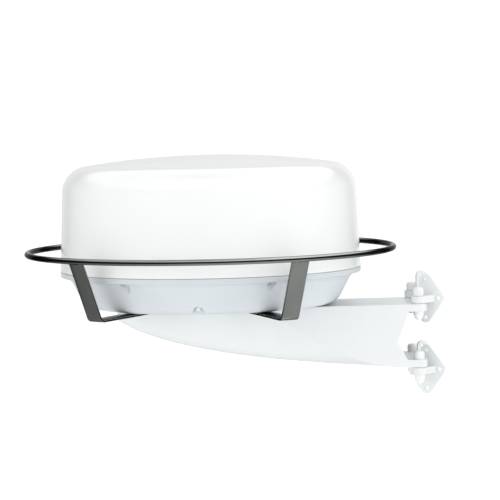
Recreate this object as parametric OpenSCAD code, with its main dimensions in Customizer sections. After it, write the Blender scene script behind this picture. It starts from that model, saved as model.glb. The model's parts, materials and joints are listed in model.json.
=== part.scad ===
// Marine radar dome antenna on a mast arm, with a tubular guard hoop.
// Millimetres, +Z up, +X from the dome towards the mast.
// The origin lies on the mast's axis, level with the arm's top face.

/* [Dome] */
// Outside diameter of the dome at its seam
dome_d = 508; // [504:1:512]
// Height of the shoulder arc's centre above the base bottom
shoulder_z = 192; // [180:1:196]
// Radius of the rounded shoulder
shoulder_r = 45; // [38:1:48]
// Radius of the shallow crown
crown_r = 1450; // [1300:50:1700]
// Lean of the dome's side from upright, in degrees
side_draft = 2.3; // [1.5:0.1:2.8]
// Thickness of the dome's shell
cover_wall = 4; // [3:0.5:5]
// Turn of the radar about its own axis, seen against the arm
radar_turn = -7; // [-10:1:0]

/* [Base] */
// Radius of the flat seat under the base
foot_r = 130; // [129:1:132]
// Height of the base's rim above its bottom
rim_z = 60; // [60:0.5:61]
// Gap between the rim and the dome, which shows as a dark seam
seam_gap = 0.9; // [0.8:0.1:1.2]
// Radius of the ring of cover screws
cover_screw_ring = 239.5; // [238:0.5:241]
// Radius of the pocket below each cover screw
pocket_r = 8.5; // [7.5:0.5:9]

/* [Antenna drive] */
// Length of the rotating array
array_len = 440; // [400:5:450]
// Height of the rotating array
array_h = 84; // [70:2:100]
// Teeth on the gear that turns the array
gear_teeth = 72; // [72]
// Teeth on the motor's pinion
pinion_teeth = 18; // [18]
// Size of a tooth: pitch diameter over the number of teeth
tooth_module = 1.25; // [1.25]

/* [Guard] */
// Radius of the hoop's centreline
hoop_r = 310; // [305:1:320]
// Height of the hoop's centreline above the arm's top face
hoop_z = 95; // [90:1:98]
// Diameter of the hoop's rod
rod_d = 10; // [8:0.5:12]
// Width of each strap
strap_w = 32; // [28:1:36]
// Thickness of each strap
strap_t = 4; // [4]
// Radius at which the strap turns under the dome
strap_bend_r = 269; // [266:1:274]
// Angle from the guard's own axis to each strap
strap_angle = 36.4; // [34:0.2:39]
// Turn of the guard, seen against the arm
guard_turn = -9.7; // [-11:0.1:-8]

/* [Arm] */
// Distance from the mast's axis to the dome's axis
reach = 387; // [385:1:390]
// Width of the arm
arm_w = 156; // [154:1:160]
// Height of the arm at its mast end
arm_h = 108; // [106:1:110]
// Wall of the arm's folded skin
skin = 3.5; // [3:0.5:4]
// Thickness of the arm's top plate
plate_t = 4; // [4:0.5:5]

/* [Mast feet] */
// Diameter of the mast that the feet are set to
mast_d = 86; // [84:1:90]
// Turn of each foot from the arm's side, in degrees
foot_turn = 21; // [18:1:24]
// Distance between the two upright rivet holes
rivet_pitch = 64; // [60:1:66]
// Distance from that pair to the third hole
rivet_offset = 22.6; // [21:0.2:25]
// Radius of the rivet holes
rivet_r = 3.2; // [2.6:0.1:3.5]

/* [Hidden] */
$fn = 64;
eps = 0.01;

// Colours
shell_white = [0.96, 0.96, 0.95];
base_grey = [0.84, 0.86, 0.88];
arm_white = [0.93, 0.93, 0.93];
steel = [0.72, 0.73, 0.75];
dark_steel = [0.42, 0.42, 0.42];
brass = [0.80, 0.65, 0.35];
rubber = [0.10, 0.10, 0.10];
board_green = [0.10, 0.38, 0.20];
alloy = [0.78, 0.79, 0.80];
nylon = [0.97, 0.97, 0.94];

// Radar: heights above the base bottom, which stands on the guard's straps
seat_z = strap_t;
dome_r = dome_d / 2;
cover_z = rim_z + seam_gap;
shoulder_x = dome_r - (shoulder_z - cover_z) * tan(side_draft) - shoulder_r / cos(side_draft);
crown_z = shoulder_z - sqrt(pow(crown_r - shoulder_r, 2) - pow(shoulder_x, 2));
crown_end = atan2(shoulder_z - crown_z, shoulder_x);
floor_z = 5;
under_edge = [186, -2.2];
rim_in = 224;
lip_in = 234;
lip_out = dome_r - 3;
lip_play = 0.1;
pocket_top = 54;
gasket_r = 229;
gasket_w = 6;
insert_h = 18;
bolt_ring = 62;
bolt_r = 4;
post_x = 100;
post_y = 60;
plate_z = 56;
plate_top = plate_z + 4;
recess_x = 120;
recess_size = [56, 50, 24];
inlet_y = 12;
vent_z = 3;
vent_r = 9.5;
vent_in = 208;
plug_z = 8.5;
plug_r = 3;

// Drive
gear_r = gear_teeth * tooth_module / 2;
pinion_r = pinion_teeth * tooth_module / 2;
motor_x = gear_r + pinion_r;
motor_w = 42;
motor_z = 18;
motor_screw = 15.5;
motor_pilot_r = 11;
gear_z = 64;
gear_t = 8;
magnet_r = 38;
shaft_r = 9.97;
shaft_hole = 5;
bearing_in = 10.02;
bearing_out = 21;
bearing_t = 12;
lower_bearing_z = 16;
upper_bearing_z = 44;
housing_r = 26;
flange_r = 34;
flange_ring = 30;
hub_z = 84;
hub_r = 28;
hub_ring = 21;
carrier_z = 90;
pressure_angle = 20;
backlash = 0.12;

// Boards
board_z = 16;
board_t = 1.6;
board_size = [120, 60];
board_pos = [15, 106];
board_inset = 5;

// Arm: the keel is one Bezier curve from the nose to the mast end
tail_x = -57;
nose_x = -547;
nose_z = -20;
keel = [[nose_x, nose_z], [-477, -72], [-267, 4 - arm_h], [tail_x, -arm_h]];
taper_x = -293;
taper_len = 255.3;
taper_power = 2.6;
bilge_power = 2.4;
crease_max = arm_h - 2;
lug_t = 12;
lug_r = 13.5;
lower_lug_z = 2 - arm_h;
lower_lug_t = 12.5;
doubler_x = -110;
doubler_lift = 7;
hinge_x = -41;
hinge_y = 64;
hinge_hole = 4.1;
cable_x = -268;
cable_size = [46, 30];

// Mast feet
foot_t = 5;
foot_corner = 9.5;
foot_lug_t = 11.7;
foot_lug_r = 12.5;
bush_r = 6;
bush_hole = 4.05;
hinge_bolt_r = 4;
washer_t = 1;
play = 0.3;
head_t = 5.5;
head_r = 7.5;
cap_r = 8.9;
cap_h = 14.5;
cap_wall = 1.3;
upper_foot_z = washer_t + play;
lower_foot_z = lower_lug_z - washer_t - play - foot_lug_t;

// ---- Shared shapes ----

function reversed(list) = [for (i = [len(list) - 1 : -1 : 0]) list[i]];

function arc(cx, cy, r, from, to, steps) =
    [for (i = [0 : steps]) let (a = from + (to - from) * i / steps)
        [cx + r * cos(a), cy + r * sin(a)]];

function bezier(p, t) =
    pow(1 - t, 3) * p[0] + 3 * pow(1 - t, 2) * t * p[1]
    + 3 * (1 - t) * t * t * p[2] + pow(t, 3) * p[3];

// Everything on the radar, placed over the arm
module on_radar() {
    translate([-reach, 0, seat_z]) rotate([0, 0, radar_turn]) children();
}

// A ring of copies about Z, at the given angles
module at_angles(angles, r) {
    for (a = angles) rotate([0, 0, a]) translate([0, -r, 0]) children();
}

module tube(r_out, r_in, h) {
    difference() {
        cylinder(r = r_out, h = h);
        translate([0, 0, -1]) cylinder(r = r_in, h = h + 2);
    }
}

module block(size, centre) {
    translate([centre[0] - size[0] / 2, centre[1] - size[1] / 2, centre[2]]) cube(size);
}

// Cap screw with its head down: the head is below z = 0, the shank above it
module screw_up(r, length, head_r, head_h) {
    translate([0, 0, -eps]) cylinder(r = r, h = length + eps);
    translate([0, 0, -head_h]) difference() {
        cylinder(r = head_r, h = head_h);
        translate([0, 0, -1]) cylinder(r = head_r * 0.5, h = head_h * 0.6 + 1, $fn = 6);
    }
}

module screw_down(r, length, head_r, head_h) {
    mirror([0, 0, 1]) screw_up(r, length, head_r, head_h);
}

// Flat outline with round ends, drawn along X
module stadium(length, width) {
    square([length - width, width], center = true);
    for (side = [-1, 1]) translate([side * (length - width) / 2, 0]) circle(d = width);
}

// ---- Radome ----

// Dome curve from the crown down to the seam, moved in by inset
function dome_curve(inset) = concat(
    arc(0, crown_z, crown_r - inset, 90, crown_end, 12),
    [for (p = [1 : 18]) let (a = crown_end + (side_draft - crown_end) * p / 18)
        [shoulder_x + (shoulder_r - inset) * cos(a), shoulder_z + (shoulder_r - inset) * sin(a)]],
    [[dome_r - inset / cos(side_draft), cover_z]]);

cover_angles = [for (i = [0 : 5]) 30 + 60 * i];
bolt_angles = [for (side = [-1, 1], half = [0, 180])
    side * strap_angle + half + guard_turn - radar_turn];
cover_boss_h = 20;

module radome_cover() {
    color(shell_white) on_radar() difference() {
        union() {
            rotate_extrude($fn = 180)
                polygon(concat(dome_curve(0), reversed(dome_curve(cover_wall))));
            translate([0, 0, cover_z]) tube(dome_r - cover_wall + 0.5, gasket_r - gasket_w / 2 - 1, 5);
            at_angles(cover_angles, cover_screw_ring)
                translate([0, 0, cover_z]) cylinder(r = 8, h = cover_boss_h);
        }
        at_angles(cover_angles, cover_screw_ring)
            translate([0, 0, cover_z - 1]) cylinder(r = 5, h = cover_boss_h - 1);
    }
}

// Outside of the base from the axis to the rim
function base_outline() = concat(
    [[0, 0], [foot_r, 0], under_edge],
    [for (i = [0 : 4]) bezier([[192, -2.2], [205, -1.5], [212.5, 2], [219, 11]], i / 4)],
    [for (i = [0 : 6]) bezier([[235, 42], [239.5, 47.5], [244, 50], [dome_r - 1.5, 51.5]], i / 6)],
    [[dome_r, 53], [dome_r, rim_z]]);

base_inside = [[rim_in, rim_z + 1], [rim_in, 53], [230, 47], [228, 40], [214, 11],
               [206, 4], [186, 4.2], [160, floor_z], [0, floor_z]];

module base_solid() {
    rotate_extrude($fn = 180) polygon(concat(base_outline(), [[0, rim_z]]));
}

// Cylinder that runs outwards under the rim, from one radius to another
module vent_axis(from, to, r, z = vent_z) {
    translate([0, -from, z]) rotate([90, 0, 0]) cylinder(r = r, h = to - from);
}

module base_housing() {
    color(base_grey) on_radar() difference() {
        union() {
            rotate_extrude($fn = 180)
                polygon(concat(base_outline(), [[rim_in, rim_z]],
                               [for (i = [1 : len(base_inside) - 1]) base_inside[i]]));
            intersection() {
                base_solid();
                union() {
                    at_angles(cover_angles, cover_screw_ring)
                        translate([0, 0, 28]) cylinder(r = pocket_r + 3, h = rim_z - 30);
                    vent_axis(188, 226, vent_r + 4);
                }
            }
            translate([0, 0, rim_z - 1]) tube(lip_out, lip_in, 1 + seam_gap - lip_play);
            at_angles(bolt_angles, bolt_ring) cylinder(r = 10, h = insert_h + 3);
            for (x = [-post_x, post_x], y = [-post_y, post_y])
                translate([x, y, 1]) cylinder(r = 8, h = plate_z - 1);
            block([recess_size[0] + 8, recess_size[1] + 8, recess_size[2] + 4], [recess_x, 0, 0]);
        }
        translate([0, 0, -1]) block([recess_size[0], recess_size[1], recess_size[2] + 1], [recess_x, 0, 0]);
        for (y = [-inlet_y, inlet_y])
            translate([recess_x, y, recess_size[2] - 1]) cylinder(r = 7, h = 6);
        at_angles(cover_angles, cover_screw_ring) {
            translate([0, 0, 20]) cylinder(r = pocket_r, h = pocket_top - 20);
            translate([0, 0, 45]) cylinder(r = 3.2, h = 20);
        }
        at_angles(bolt_angles, bolt_ring) translate([0, 0, -1]) cylinder(r = 6, h = insert_h + 1);
        for (x = [-post_x, post_x], y = [-post_y, post_y])
            translate([x, y, plate_z - 14]) cylinder(r = 2.5, h = 15);
        vent_axis(vent_in, 240, vent_r);
        vent_axis(186, vent_in + 1, plug_r, plug_z);
        translate([0, 0, rim_z - 2]) tube(gasket_r + gasket_w / 2, gasket_r - gasket_w / 2, 3);
    }
}

module perimeter_gasket() {
    color(rubber) on_radar() translate([0, 0, rim_z - 2])
        tube(gasket_r + gasket_w / 2, gasket_r - gasket_w / 2, 2 + seam_gap);
}

module cover_screws() {
    color(steel) on_radar() at_angles(cover_angles, cover_screw_ring)
        translate([0, 0, pocket_top]) screw_up(3, 24, 5.2, 4.5);
}

module cover_inserts() {
    color(brass) on_radar() at_angles(cover_angles, cover_screw_ring)
        translate([0, 0, cover_z]) tube(5, 3, cover_boss_h - 2);
}

module vent_plug() {
    color(nylon) on_radar() {
        vent_axis(187, vent_in + 4, plug_r, plug_z);
        translate([0, -vent_in, plug_z]) rotate([90, 0, 0]) cylinder(r = 4, h = 3, $fn = 6);
    }
}

// Panel socket that faces down out of the recess
module inlet(shell_r, pins) {
    translate([recess_x, 0, recess_size[2]]) {
        difference() {
            union() {
                translate([0, 0, -3]) cylinder(r = shell_r + 2, h = 3);
                translate([0, 0, -14]) cylinder(r = shell_r, h = 12);
                cylinder(r = 7, h = 4);
                translate([0, 0, 4]) cylinder(r = 9, h = 4, $fn = 6);
            }
            translate([0, 0, -15]) cylinder(r = shell_r - 1.5, h = 12);
        }
        for (i = [0 : pins - 1]) rotate([0, 0, 360 * i / pins])
            translate([3.2, 0, -11]) cylinder(r = 0.8, h = 9);
    }
}

module power_inlet() {
    color(dark_steel) on_radar() translate([0, -inlet_y, 0]) inlet(8, 3);
}

module network_inlet() {
    color(dark_steel) on_radar() translate([0, inlet_y, 0]) inlet(7.5, 6);
}

module mount_inserts() {
    color(steel) on_radar() at_angles(bolt_angles, bolt_ring) tube(6, bolt_r, insert_h);
}

// ---- Drive and electronics ----

module chassis_plate() {
    color(alloy) on_radar() translate([0, 0, plate_z]) difference() {
        linear_extrude(4) difference() {
            square([2 * post_x + 24, 2 * post_y + 24], center = true);
            for (x = [-1, 1]) translate([x * 82, 0]) stadium(30, 16);
            for (y = [-1, 1]) translate([0, y * 55]) stadium(90, 16);
        }
        translate([0, 0, -1]) cylinder(r = 15, h = 6);
        translate([motor_x, 0, -1]) cylinder(r = motor_pilot_r + 0.2, h = 6);
        for (x = [-1, 1], y = [-1, 1]) {
            translate([motor_x + x * motor_screw, y * motor_screw, -1]) cylinder(r = 1.7, h = 6);
            translate([x * post_x, y * post_y, -1]) cylinder(r = 2.7, h = 6);
        }
        at_angles([45, 135, 225, 315], flange_ring) translate([0, 0, -1]) cylinder(r = 2.2, h = 6);
    }
}

module chassis_screws() {
    color(steel) on_radar() for (x = [-post_x, post_x], y = [-post_y, post_y])
        translate([x, y, plate_top]) screw_down(2.5, 16, 4.3, 4);
}

module bearing_housing() {
    color(alloy) on_radar() difference() {
        union() {
            translate([0, 0, lower_bearing_z]) cylinder(r = housing_r, h = plate_z - lower_bearing_z);
            translate([0, 0, plate_z - 6]) cylinder(r = flange_r, h = 6);
        }
        translate([0, 0, lower_bearing_z - 1]) cylinder(r = bearing_out, h = bearing_t + 1);
        translate([0, 0, upper_bearing_z]) cylinder(r = bearing_out, h = bearing_t + 1);
        translate([0, 0, lower_bearing_z]) cylinder(r = bearing_out - 2, h = 30);
        at_angles([45, 135, 225, 315], flange_ring)
            translate([0, 0, plate_z - 7]) cylinder(r = 2, h = 8);
    }
}

module housing_screws() {
    color(steel) on_radar() at_angles([45, 135, 225, 315], flange_ring)
        translate([0, 0, plate_top]) screw_down(2, 9, 3.5, 2.5);
}

// Ball bearing drawn as one ring, with a groove for each shield
module bearing(z) {
    on_radar() translate([0, 0, z]) rotate_extrude() difference() {
        translate([bearing_in, 0]) square([bearing_out - bearing_in, bearing_t]);
        for (y = [-1, bearing_t - 0.8]) translate([13.5, y]) square([4, 1.8]);
    }
}

module lower_bearing() {
    color(steel) bearing(lower_bearing_z);
}

module upper_bearing() {
    color(steel) bearing(upper_bearing_z);
}

module antenna_shaft() {
    color(steel) on_radar() difference() {
        union() {
            translate([0, 0, 13]) cylinder(r = shaft_r, h = carrier_z - 13);
            translate([0, 0, gear_z - 3]) cylinder(r = 13, h = 3);
        }
        translate([0, 0, 12]) cylinder(r = shaft_hole, h = carrier_z);
    }
}

module antenna_hub() {
    color(alloy) on_radar() difference() {
        union() {
            translate([0, 0, gear_z + gear_t]) cylinder(r = 16, h = hub_z - gear_z - gear_t);
            translate([0, 0, hub_z]) cylinder(r = hub_r, h = carrier_z - hub_z);
        }
        translate([0, 0, gear_z]) cylinder(r = shaft_r, h = 40);
        at_angles([0, 90, 180, 270], hub_ring) translate([0, 0, hub_z - 1]) cylinder(r = 2, h = 10);
    }
}

// Polar angle between the start of an involute and its point at radius r
function involute_angle(base_r, r) =
    let (a = acos(min(1, base_r / r))) tan(a) * 180 / PI - a;

// One tooth's outline about the angle at
function tooth(teeth, at) =
    let (pitch_r = teeth * tooth_module / 2,
         base_r = pitch_r * cos(pressure_angle),
         root_r = pitch_r - 1.25 * tooth_module,
         tip_r = pitch_r + tooth_module,
         half = 90 / teeth - backlash / pitch_r * 90 / PI + involute_angle(base_r, pitch_r),
         start_r = max(base_r, root_r),
         flank = [for (i = [0 : 2]) let (r = start_r + (tip_r - start_r) * i / 2)
                    [r, half - involute_angle(base_r, r)]],
         rise = concat([[root_r, flank[0][1] + 20 / teeth]], flank))
    concat([for (q = rise) [q[0] * cos(at - q[1]), q[0] * sin(at - q[1])]],
           [for (q = reversed(rise)) [q[0] * cos(at + q[1]), q[0] * sin(at + q[1])]]);

module gear_outline(teeth, turn) {
    polygon([for (i = [0 : teeth - 1]) each tooth(teeth, turn + 360 * i / teeth)]);
}

module drive_gear() {
    color(nylon) on_radar() translate([0, 0, gear_z]) difference() {
        linear_extrude(gear_t) gear_outline(gear_teeth, 0);
        translate([0, 0, -1]) cylinder(r = shaft_r, h = gear_t + 2);
        for (i = [0 : 5]) rotate([0, 0, 60 * i + 30])
            translate([27, 0, -1]) cylinder(r = 8, h = gear_t + 2);
        translate([-magnet_r, 0, -1]) cylinder(r = 3, h = 4);
    }
}

module heading_magnet() {
    color(dark_steel) on_radar() translate([-magnet_r, 0, gear_z]) cylinder(r = 3, h = 3);
}

module heading_sensor() {
    color(board_green) on_radar() {
        block([14, 10, 1.6], [-magnet_r - 3, 0, plate_top]);
        block([4, 3, 0.9], [-magnet_r, 0, plate_top + 1.5]);
    }
}

module antenna_carrier() {
    color(alloy) on_radar() difference() {
        union() {
            block([array_len - 60, 56, 3], [0, 0, carrier_z]);
            block([array_len - 60, 3, array_h], [0, 12, carrier_z]);
            for (x = [-150, -50, 50, 150]) translate([x - 1.5, 13, carrier_z + 2])
                rotate([90, 0, 90]) linear_extrude(3) polygon([[0, 0], [14, 0], [0, 60]]);
        }
        at_angles([0, 90, 180, 270], hub_ring)
            translate([0, 0, carrier_z - 1]) cylinder(r = 2.2, h = 5);
        translate([0, 0, carrier_z - 1]) cylinder(r = shaft_hole, h = 5);
    }
}

module carrier_screws() {
    color(steel) on_radar() at_angles([0, 90, 180, 270], hub_ring)
        translate([0, 0, carrier_z + 3]) screw_down(2, 9, 3.5, 2.5);
}

module antenna_array() {
    patches = 12;
    color(board_green) on_radar() {
        block([array_len, 6, array_h], [0, 7.5, carrier_z + 3.5]);
        for (i = [0 : patches - 1], row = [0, 1])
            block([22, 1, 22], [(i - (patches - 1) / 2) * 34, 4.1, carrier_z + 17 + row * 36]);
    }
}

module drive_motor() {
    color(dark_steel) on_radar() translate([motor_x, 0, 0]) difference() {
        union() {
            block([motor_w, motor_w, plate_z - motor_z], [0, 0, motor_z]);
            translate([0, 0, plate_z]) cylinder(r = motor_pilot_r, h = 2);
        }
        translate([0, 0, plate_z - 18]) cylinder(r = 2.55, h = 30);
        for (x = [-1, 1], y = [-1, 1]) translate([x * motor_screw, y * motor_screw, plate_z - 6])
            cylinder(r = 1.5, h = 7);
        for (x = [-1, 1], y = [-1, 1]) translate([x * motor_w / 2, y * motor_w / 2, motor_z + 8])
            rotate([0, 0, 45]) block([5, 5, plate_z - motor_z - 16], [0, 0, 0]);
    }
}

module motor_screws() {
    color(steel) on_radar() for (x = [-1, 1], y = [-1, 1])
        translate([motor_x + x * motor_screw, y * motor_screw, plate_top])
            screw_down(1.5, 9, 2.75, 2.5);
}

module motor_shaft() {
    color(steel) on_radar() translate([motor_x, 0, plate_z - 16]) cylinder(r = 2.5, h = 36);
}

module motor_pinion() {
    color(brass) on_radar() translate([motor_x, 0, gear_z - 2]) difference() {
        linear_extrude(gear_t + 4) gear_outline(pinion_teeth, 180 / pinion_teeth);
        translate([0, 0, -1]) cylinder(r = 2.5, h = gear_t + 6);
    }
}

module rotary_joint() {
    color(alloy) on_radar() difference() {
        union() {
            translate([0, 0, lower_bearing_z - 4]) cylinder(r = housing_r, h = 4);
            translate([0, 0, 6]) cylinder(r = 14, h = 7);
            block([60, 20, 8], [-36, 0, 6]);
        }
        translate([0, 0, 9]) cylinder(r = 11, h = 8);
    }
}

case_size = [100, 90, 30];
case_pos = [-102, 0, 14];

module transceiver_case() {
    color(alloy) on_radar() difference() {
        union() {
            block(case_size, case_pos);
            for (x = [-1, 1], y = [-1, 1])
                translate([case_pos[0] + x * 42, y * 37, floor_z]) cylinder(r = 4, h = 10);
        }
        translate([0, 0, 3]) block([case_size[0] - 6, case_size[1] - 6, case_size[2]], case_pos);
    }
}

module transceiver_lid() {
    color(alloy) on_radar() translate([case_pos[0], case_pos[1], case_pos[2] + case_size[2]]) {
        block([case_size[0], case_size[1], 2], [0, 0, 0]);
        for (i = [-4 : 4]) block([case_size[0] - 12, 2, 5], [0, i * 9, 2]);
    }
}

module board_base(side) {
    difference() {
        block([board_size[0], board_size[1], board_t], [board_pos[0], side * board_pos[1], board_z]);
        board_corners(side) translate([0, 0, board_z - 1]) cylinder(r = 1.6, h = 4);
    }
}

module board_corners(side) {
    for (x = [-1, 1], y = [-1, 1])
        translate([board_pos[0] + x * (board_size[0] / 2 - board_inset),
                   side * board_pos[1] + y * (board_size[1] / 2 - board_inset), 0]) children();
}

module power_board() {
    top = board_z + board_t - eps;
    color(board_green) on_radar() {
        board_base(1);
        translate([0, board_pos[1], top]) {
            for (x = [-22, -2]) translate([x, -12, 0]) cylinder(r = 8, h = 24);
            block([32, 28, 20], [42, -4, 0]);
            block([40, 4, 26], [-6, 12, 0]);
            block([16, 10, 10], [22, 20, 0]);
        }
    }
}

module control_board() {
    top = board_z + board_t - eps;
    color(board_green) on_radar() {
        board_base(-1);
        translate([0, -board_pos[1], top]) {
            block([26, 26, 2.2], [10, 2, 0]);
            for (x = [-22, 44]) block([14, 14, 1.6], [x, -8, 0]);
            block([22, 8, 9], [20, -22, 0]);
            block([16, 14, 12], [-24, 14, 0]);
        }
    }
}

module board_standoffs() {
    color(brass) on_radar() for (side = [-1, 1]) board_corners(side)
        translate([0, 0, floor_z]) difference() {
            cylinder(r = 3.6, h = board_z - floor_z, $fn = 6);
            translate([0, 0, 3]) cylinder(r = 1.5, h = board_z);
        }
}

module board_screws() {
    color(steel) on_radar() for (side = [-1, 1]) board_corners(side)
        translate([0, 0, board_z + board_t]) screw_down(1.5, 7, 2.75, 2);
}

// ---- Guard ----

module on_guard() {
    translate([-reach, 0, 0]) rotate([0, 0, guard_turn]) children();
}

module hoop() {
    translate([0, 0, hoop_z]) rotate_extrude($fn = 180) translate([hoop_r, 0]) circle(d = rod_d);
}

// Round off the corner b of the path a, b, c
function fillet(a, b, c, r, steps) =
    let (u = (a - b) / norm(a - b), v = (c - b) / norm(c - b),
         half = acos(u * v) / 2, along = r / tan(half),
         centre = b + (u + v) / norm(u + v) * r / sin(half),
         from = b + u * along - centre, to = b + v * along - centre)
    [for (i = [0 : steps]) let (w = from * (1 - i / steps) + to * i / steps)
        centre + w / norm(w) * r];

// Outline of a strip of thickness t along a path
function strip(path, t) =
    let (n = len(path),
         normal = [for (i = [0 : n - 1])
            let (d = path[min(i + 1, n - 1)] - path[max(i - 1, 0)]) [-d[1], d[0]] / norm(d)])
    concat([for (i = [0 : n - 1]) path[i] + normal[i] * t / 2],
           [for (i = [n - 1 : -1 : 0]) path[i] - normal[i] * t / 2]);

strap_inner_r = 48;
strap_kink_r = 128;
strap_drop = 3;
strap_mid_z = strap_t / 2;
strap_kink = [strap_kink_r, strap_mid_z];
strap_bend = [strap_bend_r, strap_mid_z - (strap_bend_r - strap_kink_r) * tan(strap_drop)];
strap_top = [hoop_r, hoop_z];
strap_path = concat([[strap_inner_r, strap_mid_z], strap_kink],
                    fillet(strap_kink, strap_bend, strap_top, 9, 8),
                    [strap_top + (strap_bend - strap_top) / norm(strap_bend - strap_top) * rod_d * 0.4]);
strap_angles = [-strap_angle, strap_angle, 180 - strap_angle, 180 + strap_angle];

module guard_ring() {
    color(steel) on_guard() hoop();
}

module guard_strap(number) {
    color(steel) on_guard() difference() {
        rotate([0, 0, strap_angles[number - 1] - 90]) rotate([90, 0, 0])
            translate([0, 0, -strap_w / 2]) linear_extrude(strap_w) polygon(strip(strap_path, strap_t));
        rotate([0, 0, strap_angles[number - 1]]) translate([0, -bolt_ring, -1])
            cylinder(r = bolt_r + 0.5, h = strap_t + 2);
        hoop();
    }
}

module guard_welds() {
    bead_r = 1.8;
    color(steel) on_guard() at_angles(strap_angles, 0) for (side = [-1, 1])
        translate([-strap_w / 2 + 2, side * (rod_d * 0.36) - hoop_r + 1.2, hoop_z - rod_d * 0.42])
            rotate([0, 90, 0]) cylinder(r = bead_r, h = strap_w - 4);
}

// ---- Arm ----

function half_width(x) =
    x > taper_x ? arm_w / 2
                : arm_w / 2 * sqrt(1 - pow((taper_x - x) / taper_len, taper_power));

function crease_depth(x) =
    x < taper_x ? 0 : crease_max * (1 - pow((tail_x - x) / (tail_x - taper_x), 2));

// One section of the arm, moved in by inset, from top edge to top edge
function section(t, inset, top_z) =
    let (p = bezier(keel, t), w = half_width(p[0]) - inset, depth = -p[1] - inset,
         side = max(crease_depth(p[0]), plate_t + 0.5),
         curve = [for (i = [0 : 9]) let (c = cos(i * 10))
            [w * c, -side - (depth - side) * (1 - pow(c, bilge_power))]])
    concat([[p[0], w, top_z]],
           [for (q = curve) [p[0], q[0], q[1]]],
           [for (i = [8 : -1 : 0]) [p[0], -curve[i][0], curve[i][1]]],
           [[p[0], -w, top_z]]);

// Closed solid through rings of points, which run along +X
module loft(rings) {
    m = len(rings[0]);
    n = len(rings);
    polyhedron(
        points = [for (ring = rings) each ring],
        faces = concat(
            [[for (j = [m - 1 : -1 : 0]) j]],
            [[for (j = [0 : m - 1]) (n - 1) * m + j]],
            [for (i = [0 : n - 2], j = [0 : m - 1]) let (k = (j + 1) % m)
                each [[i * m + j, i * m + k, (i + 1) * m + k],
                      [i * m + j, (i + 1) * m + k, (i + 1) * m + j]]]));
}

stations = 26;
function station(i) = pow(i / stations, 1.5);

module arm_hull() {
    outer = [for (i = [0 : stations]) section(station(i), 0, -plate_t)];
    inner = [for (i = [2 : stations]) section(station(i), skin, 1)];
    last = [for (p = inner[len(inner) - 1]) p + [5, 0, 0]];
    color(arm_white) difference() {
        loft(outer);
        loft(concat(inner, [last]));
        translate([0, arm_w, 0]) rotate([90, 0, 0]) linear_extrude(2 * arm_w)
            polygon([[-40, -lug_t], [-58, -lug_t], [-78, -62], [-73.5, -72],
                     [-61, lower_lug_z + lower_lug_t], [-40, lower_lug_z + lower_lug_t]]);
    }
}

module lug_outline() {
    for (side = [-1, 1]) translate([hinge_x, side * hinge_y]) {
        circle(r = lug_r);
        translate([tail_x - hinge_x, -lug_r]) square([hinge_x - tail_x, 2 * lug_r]);
    }
}

module doubler_outline() {
    translate([doubler_x, -arm_w / 2 + skin + 0.1])
        square([tail_x - doubler_x + eps, arm_w - 2 * skin - 0.2]);
}

module hinge_holes(z, h) {
    for (side = [-1, 1]) translate([hinge_x, side * hinge_y, z]) cylinder(r = hinge_hole, h = h);
}

module arm_top_plate() {
    edge = [for (i = [0 : 24]) let (x = nose_x + (taper_x - nose_x) * pow(i / 24, 1.6))
        [x, half_width(x)]];
    color(arm_white) difference() {
        union() {
            translate([0, 0, -plate_t]) linear_extrude(plate_t)
                polygon(concat(edge, [[tail_x, arm_w / 2], [tail_x, -arm_w / 2]],
                               [for (p = reversed(edge)) [p[0], -p[1]]]));
            translate([0, 0, -lug_t]) linear_extrude(lug_t) {
                lug_outline();
                doubler_outline();
            }
        }
        hinge_holes(-lug_t - 1, lug_t + 2);
        translate([-reach, 0, 0]) rotate([0, 0, guard_turn]) at_angles(strap_angles, bolt_ring)
            translate([0, 0, -plate_t - 1]) cylinder(r = bolt_r + 0.5, h = plate_t + 2);
        translate([cable_x, 0, -plate_t - 1]) linear_extrude(plate_t + 2)
            stadium(cable_size[0], cable_size[1]);
    }
}

module arm_tail_plate() {
    color(arm_white) difference() {
        union() {
            translate([0, 0, lower_lug_z]) linear_extrude(lower_lug_t) lug_outline();
            translate([0, 0, lower_lug_z + doubler_lift])
                linear_extrude(lower_lug_t - doubler_lift) doubler_outline();
        }
        hinge_holes(lower_lug_z - 1, lower_lug_t + 2);
    }
}

module cable_grommet() {
    color(rubber) translate([cable_x, 0, -plate_t - 1.5]) difference() {
        union() {
            linear_extrude(plate_t + 3) stadium(cable_size[0], cable_size[1]);
            linear_extrude(1.5) stadium(cable_size[0] + 5, cable_size[1] + 5);
            translate([0, 0, plate_t + 1.5]) linear_extrude(1.5)
                stadium(cable_size[0] + 5, cable_size[1] + 5);
        }
        translate([0, 0, -1]) linear_extrude(plate_t + 5)
            stadium(cable_size[0] - 4, cable_size[1] - 4);
    }
}

module radar_bolts() {
    color(steel) on_guard() at_angles(strap_angles, bolt_ring)
        translate([0, 0, -plate_t - 1.6]) {
            translate([0, 0, -eps]) cylinder(r = bolt_r, h = plate_t + 1.6 + strap_t + insert_h - 2);
            translate([0, 0, -5.3]) cylinder(r = head_r, h = 5.3, $fn = 6);
        }
}

module radar_washers() {
    color(steel) on_guard() at_angles(strap_angles, bolt_ring)
        translate([0, 0, -plate_t - 1.6]) tube(8, bolt_r + 0.1, 1.6);
}

// ---- Mast feet ----

// Each hinge: side of the arm, and height of its foot's lug
hinges = [[-1, upper_foot_z], [1, upper_foot_z], [-1, lower_foot_z], [1, lower_foot_z]];

pad = [-mast_d / 2 * sin(foot_turn), -mast_d / 2 * cos(foot_turn)];
hinge_dx = hinge_x - pad[0];
hinge_dy = -hinge_y - pad[1];
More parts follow.
